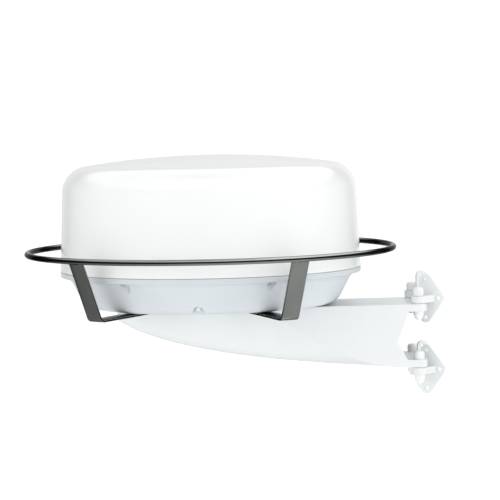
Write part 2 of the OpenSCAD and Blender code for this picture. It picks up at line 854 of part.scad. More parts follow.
// The hinge, seen from the foot's own pad
hinge_in_foot = [hinge_dx * cos(foot_turn) - hinge_dy * sin(foot_turn),
                 hinge_dx * sin(foot_turn) + hinge_dy * cos(foot_turn)];
rivets = [[-rivet_offset / 2, rivet_pitch / 2], [-rivet_offset / 2, -rivet_pitch / 2],
          [rivet_offset / 2, 0]];

module mirror_side(side) {
    if (side > 0) mirror([0, 1, 0]) children();
    else children();
}

module mast_foot(number) {
    hinge = hinges[number - 1];
    color(arm_white) mirror_side(hinge[0]) difference() {
        translate([pad[0], pad[1], hinge[1]]) rotate([0, 0, -foot_turn]) difference() {
            union() {
                translate([0, 0, foot_lug_t / 2]) rotate([90, 0, 0]) linear_extrude(foot_t) hull()
                    for (p = rivets) translate(p) circle(r = foot_corner, $fn = 36);
                linear_extrude(foot_lug_t) hull() {
                    translate(hinge_in_foot) circle(r = foot_lug_r, $fn = 48);
                    translate([-19, -foot_t]) square([24, foot_t - 1]);
                }
            }
            for (p = rivets) translate([p[0], 1, p[1] + foot_lug_t / 2])
                rotate([90, 0, 0]) cylinder(r = rivet_r, h = foot_t + 2);
        }
        translate([hinge_x, -hinge_y, hinge[1] - 1]) cylinder(r = bush_r, h = foot_lug_t + 2);
    }
}

module foot_bush(number) {
    hinge = hinges[number - 1];
    color(nylon) translate([hinge_x, hinge[0] * hinge_y, hinge[1]])
        tube(bush_r, bush_hole, foot_lug_t);
}

// Each hinge's hardware: underside of the head, and top of the nut
upper_head_z = upper_foot_z + foot_lug_t + play;
lower_head_z = lower_lug_z + lower_lug_t;
stacks = [[upper_head_z, -lug_t], [lower_head_z, lower_foot_z - play]];

module at_hinges() {
    for (side = [-1, 1]) translate([hinge_x, side * hinge_y, 0]) children();
}

module hinge_bolts() {
    color(steel) at_hinges() for (s = stacks) {
        translate([0, 0, s[1] - 10]) cylinder(r = hinge_bolt_r, h = s[0] - s[1] + 10 + eps);
        translate([0, 0, s[0]]) cylinder(r = head_r, h = head_t, $fn = 6);
    }
}

module hinge_nuts() {
    color(steel) at_hinges() for (s = stacks) translate([0, 0, s[1] - 8]) difference() {
        cylinder(r = head_r, h = 8, $fn = 6);
        translate([0, 0, -1]) cylinder(r = hinge_bolt_r, h = 10);
    }
}

// Domed plastic cap over a bolt's head
module hinge_caps() {
    color(nylon) at_hinges() for (s = stacks) translate([0, 0, s[0]]) rotate_extrude() difference() {
        union() {
            square([cap_r, cap_h - 5.5]);
            translate([0, cap_h - 5.5]) square([cap_r - 4, 5.5]);
            intersection() {
                translate([cap_r - 5.5, cap_h - 5.5]) circle(r = 5.5);
                square([cap_r, cap_h]);
            }
        }
        square([cap_r - cap_wall, head_t + 1.5]);
    }
}

// Tapered plastic cover over a nut
module nut_covers() {
    cover_h = 14.5;
    color(nylon) at_hinges() for (s = stacks) translate([0, 0, s[1] - cover_h]) difference() {
        rotate_extrude() polygon([[0, 0], [5, 0], [6, 1], [cap_r, cover_h - 6],
                                  [cap_r, cover_h], [0, cover_h]]);
        translate([0, 0, cover_h - 8]) cylinder(r = head_r + 0.1, h = 9);
        translate([0, 0, cover_h - 11]) cylinder(r = hinge_bolt_r + 0.1, h = 12);
    }
}

module thrust_washers() {
    color(nylon) at_hinges() {
        tube(11, hinge_hole, washer_t);
        translate([0, 0, lower_lug_z - washer_t]) tube(11, hinge_hole, washer_t);
    }
}

radome_cover();
base_housing();
perimeter_gasket();
cover_screws();
cover_inserts();
vent_plug();
power_inlet();
network_inlet();
mount_inserts();
chassis_plate();
chassis_screws();
bearing_housing();
housing_screws();
lower_bearing();
upper_bearing();
antenna_shaft();
antenna_hub();
drive_gear();
heading_magnet();
heading_sensor();
antenna_carrier();
carrier_screws();
antenna_array();
drive_motor();
motor_screws();
motor_shaft();
motor_pinion();
rotary_joint();
transceiver_case();
transceiver_lid();
power_board();
control_board();
board_standoffs();
board_screws();
guard_ring();
guard_strap(1);  // guard_strap_1
guard_strap(2);  // guard_strap_2
guard_strap(3);  // guard_strap_3
guard_strap(4);  // guard_strap_4
guard_welds();
arm_hull();
arm_top_plate();
arm_tail_plate();
cable_grommet();
radar_bolts();
radar_washers();
mast_foot(1);  // mast_foot_1
mast_foot(2);  // mast_foot_2
mast_foot(3);  // mast_foot_3
mast_foot(4);  // mast_foot_4
foot_bush(1);  // foot_bush_1
foot_bush(2);  // foot_bush_2
foot_bush(3);  // foot_bush_3
foot_bush(4);  // foot_bush_4
hinge_bolts();
hinge_nuts();
hinge_caps();
nut_covers();
thrust_washers();
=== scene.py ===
import json
import math

import bmesh
import bpy
from mathutils import Matrix, Vector


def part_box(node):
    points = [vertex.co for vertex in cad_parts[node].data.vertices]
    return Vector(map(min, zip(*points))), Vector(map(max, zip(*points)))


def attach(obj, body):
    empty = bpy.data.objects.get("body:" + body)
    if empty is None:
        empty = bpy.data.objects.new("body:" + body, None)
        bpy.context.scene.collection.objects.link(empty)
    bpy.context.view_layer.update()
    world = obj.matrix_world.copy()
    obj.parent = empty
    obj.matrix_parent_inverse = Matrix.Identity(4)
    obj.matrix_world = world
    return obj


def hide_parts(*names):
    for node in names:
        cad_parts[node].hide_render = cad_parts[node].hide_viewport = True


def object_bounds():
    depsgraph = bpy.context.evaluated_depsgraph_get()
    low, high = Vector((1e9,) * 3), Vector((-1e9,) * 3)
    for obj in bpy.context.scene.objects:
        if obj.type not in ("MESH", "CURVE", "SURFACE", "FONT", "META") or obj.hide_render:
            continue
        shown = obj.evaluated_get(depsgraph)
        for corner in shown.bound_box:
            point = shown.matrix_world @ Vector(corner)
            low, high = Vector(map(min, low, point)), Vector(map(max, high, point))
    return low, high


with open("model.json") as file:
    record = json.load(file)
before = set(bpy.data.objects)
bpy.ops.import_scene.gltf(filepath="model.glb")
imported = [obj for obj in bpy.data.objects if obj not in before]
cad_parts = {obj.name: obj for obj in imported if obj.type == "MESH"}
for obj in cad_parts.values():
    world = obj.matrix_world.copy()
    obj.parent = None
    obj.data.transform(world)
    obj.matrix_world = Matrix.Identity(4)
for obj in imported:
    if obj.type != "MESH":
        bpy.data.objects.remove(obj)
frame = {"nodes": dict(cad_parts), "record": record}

scene = bpy.context.scene
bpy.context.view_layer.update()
MM = 0.001
ORIGIN = Matrix.Identity(4)


def box_mm(node):
    lo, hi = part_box(node)
    return lo / MM, hi / MM


# ---- Places, in millimetres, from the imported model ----

dome_lo, dome_hi = box_mm("radome_cover")
ring_lo, ring_hi = box_mm("guard_ring")
hull_lo, hull_hi = box_mm("arm_hull")
top_lo, top_hi = box_mm("arm_top_plate")
tail_lo, tail_hi = box_mm("arm_tail_plate")
bush = {n: box_mm(f"foot_bush_{n}") for n in (1, 2, 3, 4)}

AXIS = Vector(((dome_lo.x + dome_hi.x) / 2, (dome_lo.y + dome_hi.y) / 2, 0))
STRAP_W, STRAP_T = 32, 4
BASE_Z = top_hi.z + STRAP_T
DOME_R = (dome_hi.x - dome_lo.x) / 2
RADAR_TURN, GUARD_TURN, FOOT_TURN = -7, -9.7, 21
ROD_R = (ring_hi.z - ring_lo.z) / 2
HOOP_R = (ring_hi.x - ring_lo.x) / 2 - ROD_R - 0.01  # just inside the facets of the CAD hoop
HOOP_Z = (ring_hi.z + ring_lo.z) / 2
STRAP_ANGLE = 36.4
STRAPS = [-STRAP_ANGLE, STRAP_ANGLE, 180 - STRAP_ANGLE, 180 + STRAP_ANGLE]
BOLT_RING = 62
HINGE_X = (bush[1][0].x + bush[1][1].x) / 2
HINGE_Y = abs(bush[1][0].y + bush[1][1].y) / 2


def turned(x, y, z, degrees):
    return Matrix.Translation((x, y, z)) @ Matrix.Rotation(math.radians(degrees), 4, "Z")


ON_RADAR = turned(AXIS.x, AXIS.y, BASE_Z, RADAR_TURN)
ON_GUARD = turned(AXIS.x, AXIS.y, 0, GUARD_TURN)


def sind(a):
    return math.sin(math.radians(a))


def cosd(a):
    return math.cos(math.radians(a))


def tand(a):
    return math.tan(math.radians(a))


# ---- Materials ----


class Paint:
    """A Principled material whose colour, roughness and surface vary in the object's own space."""

    def __init__(self, name, roughness, **sockets):
        self.material = bpy.data.materials.new(name)
        self.material.use_nodes = True
        self.tree = self.material.node_tree
        self.bsdf = self.tree.nodes["Principled BSDF"]
        self.bsdf.inputs["Roughness"].default_value = roughness
        for socket, value in sockets.items():
            self.bsdf.inputs[socket.replace("_", " ")].default_value = value
        self.coords = self.node("ShaderNodeTexCoord").outputs["Object"]

    def node(self, kind, **settings):
        n = self.tree.nodes.new(kind)
        for key, value in settings.items():
            setattr(n, key, value)
        return n

    def join(self, a, b):
        self.tree.links.new(a, b)

    def noise(self, scale, detail=4.0, stretch=(1, 1, 1), roughness=0.5):
        mapping = self.node("ShaderNodeMapping")
        mapping.inputs["Scale"].default_value = stretch
        self.join(self.coords, mapping.inputs["Vector"])
        n = self.node("ShaderNodeTexNoise")
        n.inputs["Scale"].default_value = scale
        n.inputs["Detail"].default_value = detail
        n.inputs["Roughness"].default_value = roughness
        self.join(mapping.outputs["Vector"], n.inputs["Vector"])
        return n.outputs["Fac"]

    def ramp(self, value, stops):
        r = self.node("ShaderNodeValToRGB")
        elements = r.color_ramp.elements
        while len(elements) < len(stops):
            elements.new(0.5)
        for e, (at, colour) in zip(elements, stops):
            e.position = at
            e.color = (*colour, 1)
        self.join(value, r.inputs["Fac"])
        return r.outputs["Color"]

    def spread(self, value, low, high):
        m = self.node("ShaderNodeMapRange")
        m.inputs["From Min"].default_value = 0.3
        m.inputs["From Max"].default_value = 0.7
        m.inputs["To Min"].default_value = low
        m.inputs["To Max"].default_value = high
        self.join(value, m.inputs["Value"])
        return m.outputs["Result"]

    def colour(self, value, dark, light):
        self.join(self.ramp(value, [(0.3, dark), (0.7, light)]), self.bsdf.inputs["Base Color"])

    def rough(self, value, low, high):
        self.join(self.spread(value, low, high), self.bsdf.inputs["Roughness"])

    def bump(self, layers):
        """layers is a list of (height, strength, distance in metres)."""
        normal = None
        for height, strength, distance in layers:
            b = self.node("ShaderNodeBump")
            b.inputs["Strength"].default_value = strength
            b.inputs["Distance"].default_value = distance
            self.join(height, b.inputs["Height"])
            if normal:
                self.join(normal, b.inputs["Normal"])
            normal = b.outputs["Normal"]
        self.join(normal, self.bsdf.inputs["Normal"])


def moulded_gloss(name, dark, light):
    p = Paint(name, 0.2, Coat_Weight=0.35, Coat_Roughness=0.06)
    p.colour(p.noise(7, 3), dark, light)
    p.rough(p.noise(55, 5), 0.2, 0.23)
    p.bump([(p.noise(14, 2), 0.04, 0.0006), (p.noise(900, 2), 0.05, 0.0001)])
    return p.material


def sprayed_paint(name, dark, light, roughness, grain, depth):
    p = Paint(name, roughness, Coat_Weight=0.12, Coat_Roughness=0.25)
    p.colour(p.noise(9, 4), dark, light)
    p.rough(p.noise(120, 4), roughness - 0.06, roughness + 0.08)
    p.bump([(p.noise(grain, 3, roughness=0.6), depth, 0.00012), (p.noise(22, 2), 0.08, 0.0005)])
    return p.material


def polished_metal(name, dark, light, low, high, stretch, metallic=1.0, edge=1.0):
    # edge sets the Specular Tint. Below 1 it darkens grazing reflections, which is painted shade in the
    # reflection.
    p = Paint(name, low, Metallic=metallic, Specular_Tint=(edge, edge, edge, 1))
    p.colour(p.noise(16, 5), dark, light)
    streaks = p.noise(420, 3, stretch)
    p.rough(streaks, low, high)
    p.bump([(streaks, 0.05, 0.00005), (p.noise(40, 2), 0.06, 0.0003)])
    return p.material


def plain_plastic(name, dark, light, roughness, grain=600):
    p = Paint(name, roughness)
    p.colour(p.noise(40, 4), dark, light)
    p.rough(p.noise(150, 3), roughness - 0.07, roughness + 0.1)
    p.bump([(p.noise(grain, 2), 0.12, 0.0001)])
    return p.material


def etched_board(name):
    p = Paint(name, 0.35, Coat_Weight=0.3, Coat_Roughness=0.2)
    bricks = p.node("ShaderNodeTexBrick")
    p.join(p.coords, bricks.inputs["Vector"])
    bricks.inputs["Scale"].default_value = 60
    bricks.inputs["Mortar Size"].default_value = 0.03
    bricks.inputs["Color1"].default_value = (0.012, 0.085, 0.03, 1)
    bricks.inputs["Color2"].default_value = (0.02, 0.12, 0.045, 1)
    bricks.inputs["Mortar"].default_value = (0.10, 0.26, 0.10, 1)
    p.join(bricks.outputs["Color"], p.bsdf.inputs["Base Color"])
    p.rough(p.noise(200, 3), 0.3, 0.45)
    p.bump([(bricks.outputs["Fac"], 0.2, 0.00004)])
    return p.material


FINISH = {
    "radome_white": moulded_gloss("radome_gloss", (0.835, 0.86, 0.855), (0.865, 0.88, 0.87)),
    "base_paint": sprayed_paint("base_satin", (0.60, 0.645, 0.675), (0.64, 0.68, 0.705), 0.38, 700, 0.10),
    "arm_paint": sprayed_paint("arm_powder_coat", (0.745, 0.775, 0.785), (0.785, 0.81, 0.815), 0.42, 520,
                               0.16),
    # The guard steel's base colour (0.24 to 0.30) and edge=0.25 are painted shade. They are darker than real
    # stainless, so the hoop, straps and welds look dark, as if reflecting dark surroundings.
    "polished_steel": polished_metal("guard_steel_painted_dark", (0.24, 0.255, 0.243), (0.30, 0.315, 0.30),
                                     0.02, 0.06, (1, 1, 0.06), edge=0.25),
    "fastener_steel": polished_metal("fastener_steel", (0.42, 0.42, 0.43), (0.6, 0.6, 0.6), 0.30, 0.45,
                                     (1, 1, 4), metallic=0.5),
    "white_nylon": plain_plastic("nylon_white", (0.80, 0.81, 0.79), (0.86, 0.865, 0.85), 0.34),
    "black_rubber": plain_plastic("rubber_black", (0.016, 0.016, 0.017), (0.035, 0.035, 0.036), 0.72),
    "dark_plastic": plain_plastic("plastic_dark", (0.04, 0.04, 0.044), (0.075, 0.075, 0.08), 0.45),
    "motor_steel": polished_metal("motor_black", (0.03, 0.03, 0.032), (0.07, 0.07, 0.075), 0.32, 0.5,
                                  (1, 1, 6)),
    "brass": polished_metal("brass_turned", (0.50, 0.34, 0.11), (0.66, 0.48, 0.2), 0.2, 0.36, (1, 1, 8)),
    "alloy": polished_metal("alloy_machined", (0.52, 0.53, 0.54), (0.66, 0.67, 0.68), 0.26, 0.4, (1, 9, 1)),
    "circuit_board": etched_board("board_green"),
}
SLOT_OF = {s["node"]: s["material_slot"] for s in frame["record"]["subparts"]}
for node, carried in frame["nodes"].items():
    carried.data.materials.clear()
    carried.data.materials.append(FINISH[SLOT_OF[node]])


# ---- Mesh building: every function works in millimetres ----


def arc(cx, cy, r, a0, a1, steps):
    angles = [a0 + (a1 - a0) * i / steps for i in range(steps + 1)]
    return [(cx + r * cosd(a), cy + r * sind(a)) for a in angles]


def bezier(p, t):
    s = 1 - t
    return tuple(s ** 3 * a + 3 * s * s * t * b + 3 * s * t * t * c + t ** 3 * d for a, b, c, d in zip(*p))


def curve_points(p, steps):
    return [bezier(p, i / steps) for i in range(steps + 1)]


def outline_hull(points):
    """The convex outline around these points."""
    points = sorted(set(points))

    def half(ps):
        out = []
        for p in ps:
            while len(out) > 1 and ((out[-1][0] - out[-2][0]) * (p[1] - out[-2][1])
                                    - (out[-1][1] - out[-2][1]) * (p[0] - out[-2][0])) <= 1e-9:
                out.pop()
            out.append(p)
        return out[:-1]

    return half(points) + half(points[::-1])


def rounded(r, at, steps=40):
    return arc(at[0], at[1], r, 0, 360 * (steps - 1) / steps, steps - 1)


def stadium(length, width, at, steps=20):
    d = (length - width) / 2
    return (arc(at[0] + d, at[1], width / 2, -90, 90, steps)
            + arc(at[0] - d, at[1], width / 2, 90, 270, steps))


def lathe(profile, steps, closed=True, place=ORIGIN):
    bm = bmesh.new()
    rings = []
    for r, z in profile:
        if r < 1e-6:
            rings.append([bm.verts.new((0, 0, z))] * steps)
        else:
            rings.append([bm.verts.new((r * cosd(360 * i / steps), r * sind(360 * i / steps), z))
                          for i in range(steps)])
    pairs = list(zip(rings, rings[1:])) + ([(rings[-1], rings[0])] if closed else [])
    for a, b in pairs:
        for i in range(steps):
            j = (i + 1) % steps
            corners = list(dict.fromkeys([a[i], a[j], b[j], b[i]]))
            if len(corners) > 2:
                bm.faces.new(corners)
    bm.transform(place)
    return bm


def skin_rings(rings):
    """A closed skin over a row of rings, capped at both ends."""
    bm = bmesh.new()
    grid = [[bm.verts.new(p) for p in ring] for ring in rings]
    m = len(grid[0])
    for a, b in zip(grid, grid[1:]):
        for j in range(m):
            k = (j + 1) % m
            bm.faces.new((a[j], a[k], b[k], b[j]))
    bm.faces.new(grid[0][::-1])
    bm.faces.new(grid[-1])
    return bm


def prism(outline, z0, z1, place=ORIGIN):
    bm = skin_rings([[(x, y, z0) for x, y in outline], [(x, y, z1) for x, y in outline]])
    bmesh.ops.recalc_face_normals(bm, faces=bm.faces)
    bm.transform(place)
    return bm


def temporary(bm):
    bmesh.ops.recalc_face_normals(bm, faces=bm.faces)
    mesh = bpy.data.meshes.new("scratch")
    bm.to_mesh(mesh)
    bm.free()
    o = bpy.data.objects.new("scratch", mesh)
    scene.collection.objects.link(o)
    return o


def combine(bm, others, operation):
    """The solid in bm, joined with or cut by each of the others."""
    target = temporary(bm)
    tools = [temporary(t) for t in others]
    for t in tools:
        m = target.modifiers.new("combine", "BOOLEAN")
        m.operation, m.solver, m.object = operation, "EXACT", t
    bpy.context.view_layer.update()
    result = bpy.data.meshes.new_from_object(target.evaluated_get(bpy.context.evaluated_depsgraph_get()))
    out = bmesh.new()
    out.from_mesh(result)
    bpy.data.meshes.remove(result)
    for o in [target] + tools:
        mesh = o.data
        bpy.data.objects.remove(o)
        bpy.data.meshes.remove(mesh)
    bmesh.ops.remove_doubles(out, verts=out.verts, dist=1e-4)
    bmesh.ops.dissolve_degenerate(out, edges=out.edges, dist=1e-4)
    return out


def gather(parts):
    bm = bmesh.new()
    for part in parts:
        mesh = bpy.data.meshes.new("scratch")
        part.to_mesh(mesh)
        part.free()
        bm.from_mesh(mesh)
        bpy.data.meshes.remove(mesh)
    return bm


def piece(name, bm, slot, body, nodes, sharp=32.0, bevel=0.0, segments=3):
    """Finishes a mesh: metres, smooth faces, sharp or bevelled edges, finish, body and replaced nodes."""
    bm.transform(Matrix.Scale(MM, 4))
    bmesh.ops.recalc_face_normals(bm, faces=bm.faces)
    for f in bm.faces:
        f.smooth = True
    for e in bm.edges:
        e.smooth = bool(bevel) or len(e.link_faces) != 2 or e.calc_face_angle(0) < math.radians(sharp)
    mesh = bpy.data.meshes.new(name)
    bm.to_mesh(mesh)
    bm.free()
    o = bpy.data.objects.new(name, mesh)
    scene.collection.objects.link(o)
    mesh.materials.append(FINISH[slot])
    if bevel:
        m = o.modifiers.new("edge", "BEVEL")
        m.width, m.segments = bevel * MM, segments
        m.limit_method, m.angle_limit = "ANGLE", math.radians(sharp)
        m.miter_outer = "MITER_ARC"
        w = o.modifiers.new("normals", "WEIGHTED_NORMAL")
        w.keep_sharp = True
    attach(o, body)
    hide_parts(*nodes)
    return o


# ---- Dome ----

SHOULDER_Z, SHOULDER_R, CROWN_R, DRAFT, WALL = 192, 45, 1450, 2.3, 4
RIM_Z, GASKET_R, GASKET_W = 60, 229, 6
COVER_Z = dome_lo.z - BASE_Z
SHOULDER_X = DOME_R - (SHOULDER_Z - COVER_Z) * tand(DRAFT) - SHOULDER_R / cosd(DRAFT)
CROWN_Z = SHOULDER_Z - math.sqrt((CROWN_R - SHOULDER_R) ** 2 - SHOULDER_X ** 2)
CROWN_END = math.degrees(math.atan2(SHOULDER_Z - CROWN_Z, SHOULDER_X))


def dome_curve(inset):
    crown = arc(0, CROWN_Z, CROWN_R - inset, 90, CROWN_END, 40)
    shoulder = arc(SHOULDER_X, SHOULDER_Z, SHOULDER_R - inset, CROWN_END, DRAFT, 48)[1:]
    end = DOME_R - inset / cosd(DRAFT)
    x, z = shoulder[-1]
    side = [(x + (end - x) * t, z + (COVER_Z - z) * t) for t in (0.2, 0.4, 0.6, 0.8, 0.97)]
    return [(0, crown[0][1])] + crown[1:] + shoulder + side


COVER_LIP_R, FLANGE_T = 0.8, 5
flange_in = GASKET_R - GASKET_W / 2 - 1
dome_profile = (dome_curve(0) + arc(DOME_R - COVER_LIP_R, COVER_Z + COVER_LIP_R, COVER_LIP_R, 0, -90, 4)
                + [(flange_in, COVER_Z), (flange_in, COVER_Z + FLANGE_T), (DOME_R - WALL, COVER_Z + FLANGE_T)]
                + dome_curve(WALL)[:-1][::-1])
piece("dome_shell", lathe(dome_profile, 288, closed=False, place=ON_RADAR),
      "radome_white", "root", ["radome_cover"])

# ---- Base ----

COVER_SCREWS = [30 + 60 * i for i in range(6)]
SCREW_RING, POCKET_R = 239.5, 8.5
POCKET_TOP, LIP_IN, LIP_OUT, LIP_Z = 54, 234, DOME_R - 3, COVER_Z - 0.1
VENT_Z, VENT_R, VENT_IN = 3, 9.5, 208
RECESS_X, RECESS = 120, (56, 50, 24)
INSERT_R, INLET_R, INLET_Y = 3.2, 7, 12
FOOT_R, EDGE_R, UNDER_Z = 130, 186, -2.2
RIM_IN, RIM_EDGE_R, RIM_TOP_R, FLOOR_Z = 224, 1.5, 0.7, 5
BOSS_WALL, BOSS_BOTTOM, BOSS_TOP, HOOD_IN, HOOD_LENGTH = 3, 28, 50.5, 188, 38

underside = ([(0, 0), (FOOT_R, 0), (EDGE_R, UNDER_Z)]
             + curve_points([(192, UNDER_Z), (205, -1.5), (212.5, 2), (219, 11)], 12)
             + [(224.3, 21.3), (229.7, 31.7)]
             + curve_points([(235, 42), (239.5, 47.5), (244, 50), (DOME_R - RIM_EDGE_R, 51.5)], 14))
gasket_out, gasket_in = GASKET_R + GASKET_W / 2, GASKET_R - GASKET_W / 2
rim = (arc(DOME_R - RIM_EDGE_R, 53, RIM_EDGE_R, -80, 0, 4)
       + arc(DOME_R - RIM_TOP_R, RIM_Z - RIM_TOP_R, RIM_TOP_R, 0, 90, 4)
       + [(LIP_OUT, RIM_Z), (LIP_OUT, LIP_Z), (LIP_IN, LIP_Z), (LIP_IN, RIM_Z)]
       + [(gasket_out, RIM_Z), (gasket_out, RIM_Z - 2), (gasket_in, RIM_Z - 2), (gasket_in, RIM_Z)]
       + [(RIM_IN, RIM_Z)])
inner_side = [(RIM_IN, 53), (230, 47), (228, 40), (214, 11), (206, 4), (EDGE_R, 4.2),
              (160, FLOOR_Z), (0, FLOOR_Z)]


def around(angle, r, z):
    """A place on the ring of radius r, at this angle from -Y, with its own Y axis pointing inwards."""
    return Matrix.Rotation(math.radians(angle), 4, "Z") @ Matrix.Translation((0, -r, z))


def outward(r_from, z):
    """Z axis runs outwards along -Y, from this radius."""
    return Matrix.Translation((0, -r_from, z)) @ Matrix.Rotation(math.radians(90), 4, "X")


def disc(r, steps=48):
    return rounded(r, (0, 0), steps)


def recess_outline(margin):
    half_x, half_y = RECESS[0] / 2 + margin, RECESS[1] / 2 + margin
    return [(RECESS_X + sx * half_x, sy * half_y) for sx, sy in ((-1, -1), (1, -1), (1, 1), (-1, 1))]


def at_screws(r, z0, z1, steps=48):
    return [prism(disc(r, steps), z0, z1, around(a, SCREW_RING, 0)) for a in COVER_SCREWS]


def base_body():
    """The base's shell with its screw bosses, vent hood and connector block inside."""
    shell = lathe(underside + rim + inner_side, 240, closed=False)
    hood = prism(disc(VENT_R + WALL), 0, HOOD_LENGTH, outward(HOOD_IN, VENT_Z))
    solid_base = [(max(r - 0.02, 0), z + 0.02) for r, z in underside if z < 50] + [(244, 50.6), (0, 50.6)]
    bosses = gather(at_screws(POCKET_R + BOSS_WALL, BOSS_BOTTOM, BOSS_TOP) + [hood])
    inside = combine(bosses, [lathe(solid_base, 240, closed=False)], "INTERSECT")
    block = prism(recess_outline(WALL), 0.02, RECESS[2] + WALL)
    return combine(shell, [inside, block], "UNION")


def base_cuts():
    """Screw pockets and holes, vent notch, connector recess and its two inlets."""
    cuts = at_screws(POCKET_R, 10, POCKET_TOP) + at_screws(INSERT_R, 45, 65, 24)
    cuts += [prism(disc(VENT_R), 0, 42, outward(VENT_IN, VENT_Z)), prism(recess_outline(0), -2, RECESS[2])]
    for side in (-1, 1):
        inlet = rounded(INLET_R, (RECESS_X, side * INLET_Y), 48)
        cuts.append(prism(inlet, RECESS[2] - 1, RECESS[2] + 6))
    return cuts


base = combine(base_body(), base_cuts(), "DIFFERENCE")
base.transform(ON_RADAR)
piece("base_shell", base, "base_paint", "root", ["base_housing"], sharp=24)

# ---- Guard: hoop, straps and welds ----

BEND_R, KINK_R, DROP = 269, 128, 3
KINK_FILLET, BEND_FILLET, STRAP_START = 60, 9, 48
BOLT_CLEAR_R = 4.5
hoop_profile = [(HOOP_R + x, HOOP_Z + z) for x, z in rounded(ROD_R, (0, 0), 28)]
piece("guard_hoop", lathe(hoop_profile, 360, place=ON_GUARD), "polished_steel", "root", ["guard_ring"])


def fillet(a, b, c, r, steps):
    """The arc of radius r that rounds the corner at b."""
    u, v = (a - b).normalized(), (c - b).normalized()
    half = math.acos(u.dot(v)) / 2
    centre = b + (u + v).normalized() * r / math.sin(half)
    start, end = b + u * r / math.tan(half) - centre, b + v * r / math.tan(half) - centre
    return [centre + start.lerp(end, i / steps).normalized() * r for i in range(steps + 1)]


def strap_path():
    mid = STRAP_T / 2
    start, kink = Vector((STRAP_START, mid)), Vector((KINK_R, mid))
    bend = Vector((BEND_R, mid - (BEND_R - KINK_R) * tand(DROP)))
    top = Vector((HOOP_R, HOOP_Z))
    path = [start, start.lerp(kink, 0.5)]
    path += fillet(start, kink, bend, KINK_FILLET, 6) + fillet(kink, bend, top, BEND_FILLET, 16)
    end = top + (bend - top).normalized() * ROD_R * 0.8
    last = path[-1]
    return path + [last.lerp(end, t) for t in (0.25, 0.5, 0.75, 1)]


def edge_section(w, t, r, steps=4):
    corners = [(w / 2 - r, t / 2 - r, 0), (-w / 2 + r, t / 2 - r, 90),
               (-w / 2 + r, -t / 2 + r, 180), (w / 2 - r, -t / 2 + r, 270)]
    return [p for x, y, a in corners for p in arc(x, y, r, a, a + 90, steps)]


def strap(angle):
    path = strap_path()
    rings = []
    for i, p in enumerate(path):
        d = (path[min(i + 1, len(path) - 1)] - path[max(i - 1, 0)]).normalized()
        n = Vector((-d.y, d.x))
        ends = ((0.0, 0.7), (0.7, 0.0)) if i == 0 else ((0.0, 0.0),)
        for along, shrink in ends:
            q = p + d * along
            edge_r = 0.5 if shrink else 0.9
            outline = edge_section(STRAP_W - 2 * shrink, STRAP_T - 2 * shrink, edge_r)
            rings.append([(u, -(q.x + n.x * v), q.y + n.y * v) for u, v in outline])
    bolt_hole = prism(rounded(BOLT_CLEAR_R, (0, -BOLT_RING), 32), -4, STRAP_T + 4)
    bm = combine(skin_rings(rings), [bolt_hole], "DIFFERENCE")
    bm.transform(ON_GUARD @ Matrix.Rotation(math.radians(angle), 4, "Z"))
    return bm


for number, angle in enumerate(STRAPS, 1):
    piece(f"guard_strap_bar_{number}", strap(angle), "polished_steel", "root",
          [f"guard_strap_{number}"], sharp=40)


def weld_bead(angle, side):
    """A lumpy bead along the hoop, where a strap's end meets it."""
    rings, steps, half = [], 42, (STRAP_W - 4) / 2
    for i in range(steps + 1):
        along = -half + 2 * half * i / steps
        swell = math.sqrt(max(0.02, 1 - (abs(along) / half) ** 6))
        r = (1.55 + 0.22 * abs(math.sin(along * 1.35))) * swell
        y, z = side * ROD_R * 0.72 - HOOP_R + 1.2, HOOP_Z - ROD_R * 0.84
        rings.append([(along, y + r * cosd(a), z + r * sind(a)) for a in range(0, 360, 30)])
    bm = skin_rings(rings)
    bm.transform(ON_GUARD @ Matrix.Rotation(math.radians(angle), 4, "Z"))
    return bm


piece("guard_weld_beads", gather([weld_bead(a, side) for a in STRAPS for side in (-1, 1)]),
      "polished_steel", "root", ["guard_welds"], sharp=60)

# ---- Arm ----

ARM_W = hull_hi.y - hull_lo.y
PLATE_T = top_hi.z - hull_hi.z
NOSE_X, TAIL_X, KEEL_Z = hull_lo.x, hull_hi.x, hull_lo.z
KEEL = [(NOSE_X, -20), (-477, -72), (-267, KEEL_Z + 4), (TAIL_X, KEEL_Z)]
TAPER_X, TAPER_LEN, TAPER_POWER, BILGE_POWER, SKIN = -293, 255.3, 2.6, 2.4, 3.5
CREASE = -KEEL_Z - 2
LUG_T, LUG_R, LOWER_LUG_Z, LOWER_LUG_T = top_hi.z - top_lo.z, 13.5, tail_lo.z, tail_hi.z - tail_lo.z
HINGE_HOLE = 4.1
CABLE_SLOT = (46, 30)


def half_width(x):
    """Half the arm's width here: full at the mast end, rounding in to the nose."""
    if x > TAPER_X:
        return ARM_W / 2
    return ARM_W / 2 * math.sqrt(1 - ((TAPER_X - x) / TAPER_LEN) ** TAPER_POWER)


def crease_depth(x):
    """How far down the flat side runs before the hull folds under."""
    return 0 if x < TAPER_X else CREASE * (1 - ((TAIL_X - x) / (TAIL_X - TAPER_X)) ** 2)


def section(t, inset, top_z, shrink=1.0, shift=0.0):
    x, z = bezier(KEEL, t)
    w, depth = half_width(x) - inset, -z - inset
    side = max(crease_depth(x), PLATE_T + 0.5)
    quarter = [(w * cosd(a), -side - (depth - side) * (1 - cosd(a) ** BILGE_POWER)) for a in range(0, 91, 5)]
    walls = [(w, top_z + (-side - top_z) * k / 4) for k in range(4)]
    right = walls + quarter
    points = right + [(-y, z) for y, z in right[-2::-1]]
    middle = (top_z - depth) / 2
    return [(x + shift, y * shrink, middle + (z - middle) * shrink) for y, z in points]


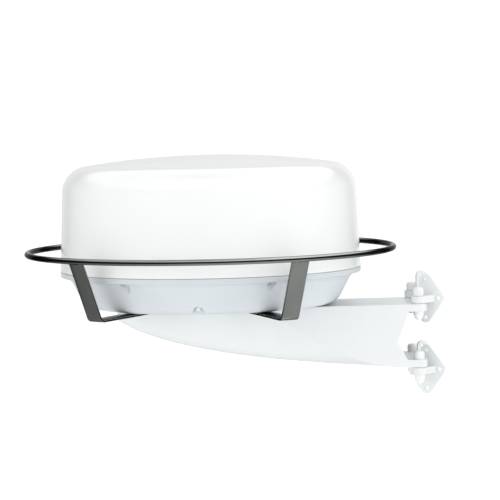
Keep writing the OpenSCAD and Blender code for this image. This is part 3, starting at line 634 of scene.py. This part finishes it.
STATIONS = [(i / 64) ** 1.5 for i in range(65)]
outer = [section(0, 0, -PLATE_T, 0.72), section(0, 0, -PLATE_T, 0.9, 0.8)]
outer += [section(t, 0, -PLATE_T) for t in STATIONS[3:]]
inner = [section(t, SKIN, 1) for t in STATIONS[6:]]
inner.append([(x + 5, y, z) for x, y, z in inner[-1]])
notch = [(-40, -LUG_T), (TAIL_X - 1, -LUG_T), (-78, -62), (-73.5, -72),
         (-61, LOWER_LUG_Z + LOWER_LUG_T), (-40, LOWER_LUG_Z + LOWER_LUG_T)]
notch_cut = prism(notch, -ARM_W, ARM_W, Matrix.Rotation(math.radians(90), 4, "X"))
piece("arm_body", combine(skin_rings(outer), [skin_rings(inner), notch_cut], "DIFFERENCE"),
      "arm_paint", "root", ["arm_hull"], sharp=18)


def lug_outline(side, inner_x):
    y = side * HINGE_Y
    return ([(inner_x, y - LUG_R)] + arc(HINGE_X, y, LUG_R, -90, 90, 32) + [(inner_x, y + LUG_R)])


def doubler(z0, z1, inset):
    y = ARM_W / 2 - inset
    return prism([(-110, -y), (TAIL_X, -y), (TAIL_X, y), (-110, y)], z0, z1)


def hinge_cuts(z0, z1):
    return [prism(rounded(HINGE_HOLE, (HINGE_X, side * HINGE_Y), 32), z0, z1) for side in (-1, 1)]


def lugs(inner_x, z0, z1):
    return [prism(lug_outline(side, inner_x), z0, z1) for side in (-1, 1)]


edge = [NOSE_X + (TAPER_X - NOSE_X) * (i / 40) ** 1.6 for i in range(41)]
plate_outline = ([(x, half_width(x)) for x in edge] + [(TAIL_X, ARM_W / 2), (TAIL_X, -ARM_W / 2)]
                 + [(x, -half_width(x)) for x in edge[::-1]])
top = combine(prism(plate_outline, -PLATE_T, 0),
              [doubler(-LUG_T, -0.02, SKIN + 0.1)] + lugs(TAIL_X - 8, -LUG_T, 0), "UNION")
bolt_places = [Matrix.Rotation(math.radians(GUARD_TURN + a), 2) @ Vector((0, -BOLT_RING)) + AXIS.xy
               for a in STRAPS]
grommet_lo, grommet_hi = box_mm("cable_grommet")
grommet_at = ((grommet_lo.x + grommet_hi.x) / 2, (grommet_lo.y + grommet_hi.y) / 2)
top_cuts = hinge_cuts(-LUG_T - 1, 1)
top_cuts += [prism(rounded(BOLT_CLEAR_R, p, 32), -PLATE_T - 1, 1) for p in bolt_places]
top_cuts += [prism(stadium(*CABLE_SLOT, grommet_at), -PLATE_T - 1, 1)]
piece("arm_deck", combine(top, top_cuts, "DIFFERENCE"), "arm_paint", "root", ["arm_top_plate"], bevel=0.7)

lower_top = LOWER_LUG_Z + LOWER_LUG_T
near_lug, far_lug = lugs(TAIL_X - 1, LOWER_LUG_Z, lower_top)
tail = combine(near_lug, [far_lug, doubler(LOWER_LUG_Z + 7, lower_top, SKIN + 0.1)], "UNION")
tail = combine(tail, hinge_cuts(LOWER_LUG_Z - 1, lower_top + 1), "DIFFERENCE")
piece("arm_tail", tail, "arm_paint", "root", ["arm_tail_plate"], bevel=0.7)

# ---- Mast feet ----

FOOT_T, FOOT_CORNER, FOOT_LUG_R, BUSH_R, RIVET_R = 5, 9.5, 12.5, 6, 3.2
FOOT_LUG_T = bush[1][1].z - bush[1][0].z
MAST_R = 43
PAD = (-MAST_R * sind(FOOT_TURN), -MAST_R * cosd(FOOT_TURN))
RIVETS = [(-11.3, 32), (-11.3, -32), (11.3, 0)]


def foot(number):
    z = bush[number][0].z
    far = number in (2, 4)
    place = turned(PAD[0], PAD[1], z, -FOOT_TURN)
    hinge = place.inverted() @ Vector((HINGE_X, -HINGE_Y, z))
    upright = Matrix.Translation((0, 0, FOOT_LUG_T / 2)) @ Matrix.Rotation(math.radians(90), 4, "X")
    plate = prism(outline_hull([q for p in RIVETS for q in rounded(FOOT_CORNER, p, 36)]), 0, FOOT_T, upright)
    lug = prism(outline_hull(rounded(FOOT_LUG_R, (hinge.x, hinge.y), 48)
                             + [(-19, -FOOT_T), (5, -FOOT_T), (5, -1), (-19, -1)]), 0, FOOT_LUG_T)
    cuts = [prism(rounded(RIVET_R, p, 32), -1, FOOT_T + 2, upright) for p in RIVETS]
    cuts.append(prism(rounded(BUSH_R, (hinge.x, hinge.y), 40), -1, FOOT_LUG_T + 1))
    bm = combine(combine(plate, [lug], "UNION"), cuts, "DIFFERENCE")
    bm.transform(place)
    if far:
        bm.transform(Matrix.Scale(-1, 4, (0, 1, 0)))
    return bm


for number in (1, 2, 3, 4):
    piece(f"foot_bracket_{number}", foot(number), "arm_paint", f"foot_{number}",
          [f"mast_foot_{number}"], bevel=0.8)

# ---- Caps and nut covers ----

CAP_R, CAP_H = 8.9, 14.5
cap_profile = ([(0, CAP_H)] + arc(CAP_R - 5.5, CAP_H - 5.5, 5.5, 90, 0, 14) + [(CAP_R, 0.4), (CAP_R - 0.4, 0)]
               + [(CAP_R - 1.3, 0), (CAP_R - 1.3, 7), (0, 7)])
cover_profile = ([(0, 0), (4.4, 0)] + arc(4.4, 1.2, 1.2, -75, -15, 4) + [(7.6, 5.3)]
                 + arc(CAP_R - 1.2, 8.6, 1.2, -15, 0, 3)
                 + [(CAP_R, CAP_H), (7.6, CAP_H), (7.6, 6.5), (4.1, 6.5), (4.1, 3.5), (0, 3.5)])
cap_top = box_mm("hinge_caps")[1].z
cover_bottom = box_mm("nut_covers")[0].z
hinges = [(HINGE_X, s * HINGE_Y) for s in (-1, 1)]
piece("domed_caps", gather([lathe(cap_profile, 48, closed=False, place=Matrix.Translation((x, y, z)))
                            for x, y in hinges for z in (cap_top - CAP_H, lower_top)]),
      "white_nylon", "root", ["hinge_caps"], sharp=40)
piece("tapered_covers", gather([lathe(cover_profile, 48, closed=False, place=Matrix.Translation((x, y, z)))
                                for x, y in hinges for z in (-LUG_T - CAP_H, cover_bottom)]),
      "white_nylon", "root", ["nut_covers"], sharp=40)

# ---- Stage, light and camera, in metres ----

lo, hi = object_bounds()
middle = (lo + hi) / 2
FLOOR_DROP, FLOOR_R = 0.22, 60


def studio_floor():
    bm = bmesh.new()
    bmesh.ops.create_circle(bm, cap_ends=True, segments=96, radius=FLOOR_R)
    mesh = bpy.data.meshes.new("floor")
    bm.to_mesh(mesh)
    bm.free()
    floor = bpy.data.objects.new("floor", mesh)
    scene.collection.objects.link(floor)
    floor.location = (middle.x, 0, lo.z - FLOOR_DROP)
    sheet = Paint("studio_floor", 0.6, Emission_Color=(1, 1, 1, 1), Emission_Strength=0.165)
    sheet.colour(sheet.noise(0.8, 2), (0.955, 0.955, 0.955), (0.97, 0.97, 0.97))
    mesh.materials.append(sheet.material)
    floor.visible_glossy = False


class Surroundings:
    """Even light for surfaces, banded walls for reflections and white paper for the camera."""

    def __init__(self):
        world = bpy.data.worlds.new("studio")
        scene.world = world
        world.use_nodes = True
        self.tree = world.node_tree
        self.tree.nodes.clear()
        seen_by = self.node("ShaderNodeLightPath").outputs
        lit = self.choose(seen_by["Is Glossy Ray"], self.plain(0.925), self.walls())
        out = self.node("ShaderNodeOutputWorld")
        self.join(self.choose(seen_by["Is Camera Ray"], lit, self.plain(1.05)), out.inputs["Surface"])

    def node(self, kind):
        return self.tree.nodes.new(kind)

    def join(self, a, b):
        self.tree.links.new(a, b)

    def plain(self, strength):
        background = self.node("ShaderNodeBackground")
        background.inputs["Color"].default_value = (1, 1, 1, 1)
        background.inputs["Strength"].default_value = strength
        return background.outputs["Background"]

    def choose(self, factor, otherwise, chosen):
        mix = self.node("ShaderNodeMixShader")
        self.join(factor, mix.inputs["Fac"])
        self.join(otherwise, mix.inputs[1])
        self.join(chosen, mix.inputs[2])
        return mix.outputs["Shader"]

    def spread(self, value, from_min, from_max, to_min=0.0, to_max=1.0):
        m = self.node("ShaderNodeMapRange")
        m.inputs["From Min"].default_value = from_min
        m.inputs["From Max"].default_value = from_max
        m.inputs["To Min"].default_value = to_min
        m.inputs["To Max"].default_value = to_max
        self.join(value, m.inputs["Value"])
        return m.outputs["Result"]

    def bands(self, height):
        """Greys from straight down (0) to straight up (1), with a black wall at eye level."""
        ramp = self.node("ShaderNodeValToRGB")
        stops = [(0.0, 0.4), (0.06, 0.4), (0.09, 0.25), (0.25, 0.25), (0.29, 0.01), (0.71, 0.01),
                 (0.77, 0.75), (0.96, 0.75), (1.0, 0.3)]
        elements = ramp.color_ramp.elements
        while len(elements) < len(stops):
            elements.new(0.5)
        for element, (at, grey) in zip(elements, stops):
            element.position = at
            element.color = (grey, grey, grey, 1)
        self.join(height, ramp.inputs["Fac"])
        return ramp.outputs["Color"]

    def walls(self):
        """The bands, with one grey wall straight behind and more light towards the right."""
        coords = self.node("ShaderNodeTexCoord")
        axes = self.node("ShaderNodeSeparateXYZ")
        self.join(coords.outputs["Generated"], axes.inputs["Vector"])
        wall = self.node("ShaderNodeMix")
        wall.data_type = "RGBA"
        self.join(self.spread(axes.outputs["Y"], 0.8, 0.95), wall.inputs["Factor"])
        self.join(self.bands(self.spread(axes.outputs["Z"], -1, 1)), wall.inputs["A"])
        wall.inputs["B"].default_value = (0.34, 0.34, 0.34, 1)
        background = self.node("ShaderNodeBackground")
        self.join(wall.outputs["Result"], background.inputs["Color"])
        strength = self.spread(axes.outputs["X"], -0.8, 0.65, 1.35, 3.0)
        self.join(strength, background.inputs["Strength"])
        return background.outputs["Background"]


def softbox(name, at, size, watts):
    data = bpy.data.lights.new(name, "AREA")
    data.shape, data.size, data.size_y, data.energy = "RECTANGLE", size[0], size[1], watts
    o = bpy.data.objects.new(name, data)
    o.location = at
    o.visible_glossy = False
    o.rotation_euler = (middle - Vector(at)).to_track_quat("-Z", "Y").to_euler()
    scene.collection.objects.link(o)


TURN, RISE, ROLL, DISTANCE = math.radians(-1.1), math.radians(3.9), math.radians(-1.27), 5.0
DOME_MIDDLE_Z, FRAMING = 0.078, (0.067, 0, 0.015)


def photo_camera():
    """Looks at the dome along the photo's line of sight, framed off centre as the photo is."""
    lens = bpy.data.cameras.new("camera")
    lens.lens, lens.sensor_width = 212.3, 36
    lens.clip_start, lens.clip_end = 0.1, 400
    eye = bpy.data.objects.new("camera", lens)
    scene.collection.objects.link(eye)
    back = Vector((math.sin(TURN) * math.cos(RISE), -math.cos(TURN) * math.cos(RISE), math.sin(RISE)))
    dome_point = Vector((AXIS.x * MM, 0, DOME_MIDDLE_Z))
    eye.location = dome_point + back * DISTANCE
    aim = dome_point + Vector(FRAMING)
    look = (aim - eye.location).to_track_quat("-Z", "Y").to_matrix().to_4x4()
    eye.rotation_euler = (look @ Matrix.Rotation(ROLL, 4, "Z")).to_euler()
    scene.camera = eye


studio_floor()
Surroundings()
softbox("front_right", (1.8, -4.2, 0.9), (2.6, 2.2), 13)
softbox("front_left", (-3.1, -2.6, 0.2), (3.0, 2.2), 25)
softbox("side_right", (2.2, -0.9, 0.35), (1.0, 1.3), 11)
softbox("top", (-0.4, -0.6, 2.6), (2.4, 2.0), 4)
scene.view_settings.view_transform = "Standard"
photo_camera()
